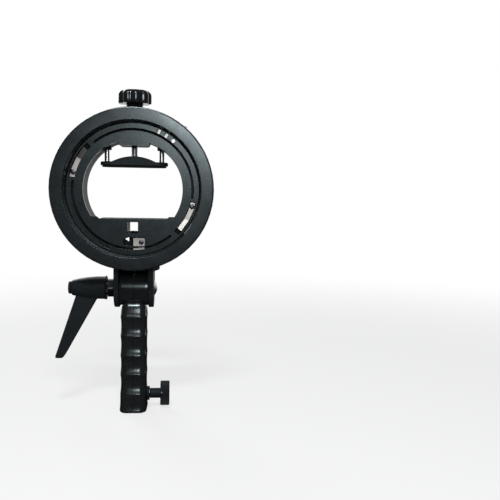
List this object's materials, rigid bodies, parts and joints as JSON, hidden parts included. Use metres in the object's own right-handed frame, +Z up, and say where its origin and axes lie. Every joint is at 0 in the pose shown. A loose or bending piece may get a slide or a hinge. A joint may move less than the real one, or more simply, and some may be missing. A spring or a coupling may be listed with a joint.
{
  "type": "flash mount bracket",
  "caption": "Hand-held flash bracket: a grip with a stand socket, a tilting head that clamps a flash body, and a round front bayonet for light shapers.",
  "frame": {"origin": "centre of the stand socket's mouth, in the bottom face of the grip", "axes": "+Z up along the grip and the socket, -Y the way the bayonet faces, +X the side of the pivot bolt's domed head and of the stand thumbscrew, with the clamping lever on -X"},
  "size_m": [0.1506, 0.0603, 0.3086],
  "materials": {
    "black_grained": "finely grained, matte",
    "black_satin": "satin",
    "black_gloss": "gloss",
    "black_rubber": "matte",
    "bright_zinc": "zinc plated, bright",
    "dark_steel": "plain steel",
    "alloy": "as turned"
  },
  "bodies": {
    "handle": {"grip_left_half": "black_satin", "grip_right_half": "black_satin", "grip_screw_lower": "dark_steel", "grip_screw_upper": "dark_steel", "friction_washer_left": "alloy", "friction_washer_right": "alloy", "socket_sleeve": "alloy", "thumbscrew_bush": "black_satin"},
    "head": {"front_ring": "black_grained", "bayonet_plate": "black_grained", "yoke_frame": "black_satin", "rest_pad": "black_rubber", "lug_spring_left": "bright_zinc", "lug_screw_left": "dark_steel", "lug_spring_right": "bright_zinc", "lug_screw_right": "dark_steel", "groove_spring": "bright_zinc", "groove_screw": "dark_steel", "umbrella_spring": "bright_zinc", "umbrella_screw": "bright_zinc", "clamp_nut": "alloy", "nut_screw_left": "bright_zinc", "nut_screw_right": "bright_zinc", "lock_cover": "black_satin", "lock_screw_1": "bright_zinc", "lock_screw_2": "bright_zinc", "lock_screw_3": "bright_zinc", "pivot_bolt": "bright_zinc", "lever_washer": "dark_steel"},
    "lever_core": {"lever_insert": "dark_steel", "lever_screw": "dark_steel", "lever_spring": "dark_steel"},
    "lever_handle": {"clamp_lever": "black_satin", "lever_cap": "black_satin"},
    "carriage": {"clamp_plate": "black_satin", "clamp_pad": "black_rubber", "guide_rod_left": "bright_zinc", "guide_rod_right": "bright_zinc"},
    "spindle": {"clamp_screw": "bright_zinc", "clamp_clip": "dark_steel", "clamp_knob": "black_gloss"},
    "lock": {"lock_pin": "bright_zinc", "release_pin": "bright_zinc", "lock_spring": "dark_steel"},
    "stand_shoe": {"pressure_shoe": "alloy"},
    "stand_screw": {"thumbscrew_stud": "dark_steel", "thumbscrew_wing": "black_satin"}
  },
  "joints": [
    {"name": "head_tilt", "type": "hinge", "parent": "handle", "child": "head", "pos_m": [0, 0, 0.1194], "axis": [1, 0, 0], "range_deg": [-60, 75]},
    {"name": "lever_turn", "type": "hinge", "parent": "head", "child": "lever_core", "pos_m": [-0.03, 0, 0.1194], "axis": [1, 0, 0], "range_deg": [-90, 90]},
    {"name": "lever_lift", "type": "slide", "parent": "lever_core", "child": "lever_handle", "axis": [-1, 0, 0], "range_m": [0, 0.004], "stiffness_N_per_m": 800, "springref_m": -0.003},
    {"name": "clamp_slide", "type": "slide", "parent": "head", "child": "carriage", "axis": [0, 0, 1], "range_m": [-0.0155, 0.005]},
    {"name": "screw_turn", "type": "hinge", "parent": "carriage", "child": "spindle", "pos_m": [0, -0.0085, 0.25], "axis": [0, 0, 1], "range_deg": [-5580, 1800]},
    {"name": "lock_release", "type": "slide", "parent": "head", "child": "lock", "axis": [0, 1, 0], "range_m": [0, 0.0035], "stiffness_N_per_m": 500, "springref_m": -0.003},
    {"name": "stand_shoe_slide", "type": "slide", "parent": "handle", "child": "stand_shoe", "axis": [1, 0, 0], "range_m": [-0.0003, 0.005]},
    {"name": "stand_screw_turn", "type": "hinge", "parent": "stand_shoe", "child": "stand_screw", "pos_m": [0.02, 0, 0.0147], "axis": [1, 0, 0], "range_deg": [-87, 1440]}
  ],
  "couplings": [
    {"joint": "screw_turn", "follows": "clamp_slide", "rad_per_m": 6283.2},
    {"joint": "stand_screw_turn", "follows": "stand_shoe_slide", "rad_per_m": 5026.5}
  ]
}
